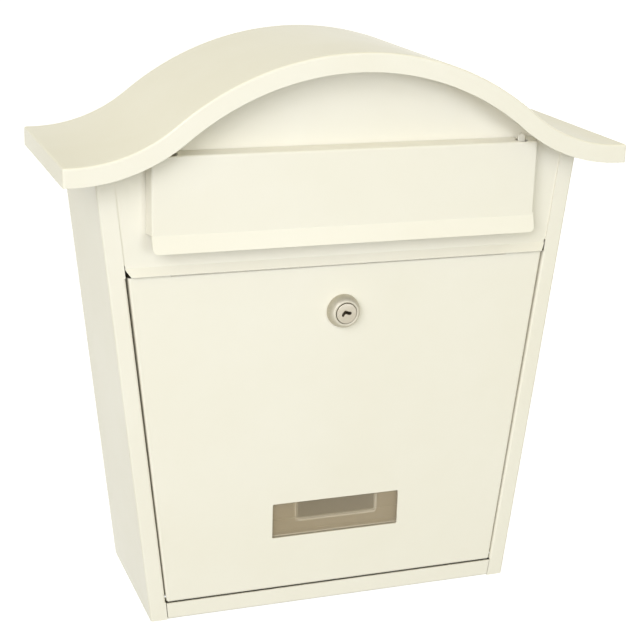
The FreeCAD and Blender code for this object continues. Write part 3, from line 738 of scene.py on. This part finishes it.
corners = [(a * SQUARE / 2, b * SQUARE / 2) for a, b in ((-1, -1), (1, -1), (1, 1), (-1, 1))]
square_foot = ring_on_plug(core, corners, -SQUARE_START)
square_tip = ring_on_plug(core, corners, -PLUG_LENGTH - SQUARE_LENGTH)
bridge(core, square_foot, square_tip)
core.faces.new(square_foot[::-1])
core.faces.new(square_tip)
plug = meshed("lock_core", core)
plug.data.shade_smooth()
plug.data.set_sharp_from_angle(angle=math.radians(35))
plug.data.materials.append(
    plated("core_nickel", CORE_NICKEL, 0.42, lines=0.35, direction=(0.3, 1.0, 3.0), tarnish=0.45))
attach(plug, "lock")
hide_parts("lock_plug")

# Lock washer, nut, cam, spring washer and screw: small steel pieces, zinc plated, that clamp the
# lock to the door and carry its latch. They show only with the door open.

washer_zinc = plated("washer_zinc", ZINC, 0.34, tarnish=0.5)
for node in ("lock_washer", "lock_nut", "cam_spring_washer", "cam_screw"):
    finish_solid(node, washer_zinc)
finish_solid("lock_cam", plated("cam_zinc", ZINC, 0.28, lines=0.5, direction=(0.2, 1.0, 4.0)))

# Floor and room: the box hangs 60 mm above a pale floor that keeps its shadow, so that the door
# can drop open, in a warm white room. A large soft lamp stands in front to the left, with a small
# one low on the right and a weak one that opens up the shadows behind.

FLOOR_DROP = 0.06
FLOOR_REACH = 8
FLOOR_GREY = (0.38, 0.39, 0.42, 1)
FLOOR_GLOW = 0.90
ROOM_TONE = (1.0, 0.95, 0.62, 1)
ROOM_LIGHT = 0.61
WHITE = (1.0, 1.0, 1.0, 1)
LAMP_AIM = Vector((0, -0.06, 0.05))


def seen_directly(tree):
    """1 for what the camera sees straight, in a reflection or through something clear."""
    path = tree.nodes.new("ShaderNodeLightPath").outputs
    either = maths(tree, "MAXIMUM", path["Is Camera Ray"], path["Is Glossy Ray"])
    return maths(tree, "MAXIMUM", either, path["Is Transmission Ray"])


def pale_paper():
    """Matt paper that glows white to the eye and still shows the object's shadow."""
    material, tree, look = new_finish("pale_table", {
        "Base Color": FLOOR_GREY, "Roughness": 0.9, "Specular IOR Level": 0.0, "Emission Color": WHITE})
    feed(tree, look["Emission Strength"], maths(tree, "MULTIPLY", seen_directly(tree), FLOOR_GLOW))
    return material


floor_mesh = bpy.data.meshes.new("table")
floor_level = cad_box[0][2] - FLOOR_DROP
floor_mesh.from_pydata([(x, y, floor_level) for x, y in rectangle(
    -FLOOR_REACH, FLOOR_REACH, -FLOOR_REACH, FLOOR_REACH)], [], [(0, 1, 2, 3)])
placed("table", floor_mesh)
floor_mesh.materials.append(pale_paper())

world = bpy.data.worlds.new("room")
bpy.context.scene.world = world
world.use_nodes = True
tree = world.node_tree
room = tree.nodes["Background"].inputs
feed(tree, room["Strength"], spread(tree, seen_directly(tree), 0.0, 1.0, ROOM_LIGHT, 1.0))
feed(tree, room["Color"], add_node(tree, "ShaderNodeMix", {
    "Factor": seen_directly(tree), "A": ROOM_TONE, "B": WHITE}, data_type="RGBA")["Result"])


def soft_lamp(name, turn, rise, away, size, power, tone):
    """Square soft lamp aimed at the box. Turn is degrees to the right of the front."""
    light = bpy.data.lights.new(name, "AREA")
    light.shape = "SQUARE"
    light.size = size
    light.energy = power
    light.color = tone
    lamp = placed(name, light)
    turn, rise = math.radians(turn), math.radians(rise)
    towards = Vector((math.sin(turn) * math.cos(rise), -math.cos(turn) * math.cos(rise), math.sin(rise)))
    lamp.location = LAMP_AIM + away * towards
    lamp.rotation_euler = (LAMP_AIM - lamp.location).to_track_quat("-Z", "Y").to_euler()


soft_lamp("key", turn=-34, rise=21, away=2.6, size=1.7, power=48, tone=(0.87, 0.89, 0.98))
soft_lamp("front", turn=18, rise=7, away=2.8, size=0.8, power=11.5, tone=(0.82, 0.88, 1.0))
soft_lamp("behind", turn=118, rise=8, away=2.6, size=1.7, power=12, tone=(0.86, 0.89, 1.0))

# Camera: where the photograph was taken from, a little above the box and to its left. Its place
# and angles were fitted to the box's straight edges.

CAMERA_PLACE = (-0.3412, -1.0059, 0.3681)
CAMERA_TURN, CAMERA_DIP, CAMERA_ROLL = 19.96, 17.45, 1.70
LENS = 88.28
FILM_WIDTH = 36

yaw, pitch, roll = (math.radians(angle) for angle in (CAMERA_TURN, CAMERA_DIP, CAMERA_ROLL))
look_along = Vector((math.sin(yaw) * math.cos(pitch), math.cos(yaw) * math.cos(pitch), -math.sin(pitch)))
right = Vector((math.cos(yaw), -math.sin(yaw), 0))
up = right.cross(look_along)
right_turned = right * math.cos(roll) + up * math.sin(roll)
up_turned = up * math.cos(roll) - right * math.sin(roll)
facing = Matrix((right_turned, up_turned, -look_along)).transposed().to_4x4()
camera = placed("camera", bpy.data.cameras.new("camera"))
camera.matrix_world = Matrix.Translation(CAMERA_PLACE) @ facing
camera.data.lens = LENS
camera.data.sensor_width = FILM_WIDTH
bpy.context.scene.camera = camera
bpy.context.scene.view_settings.view_transform = "Standard"
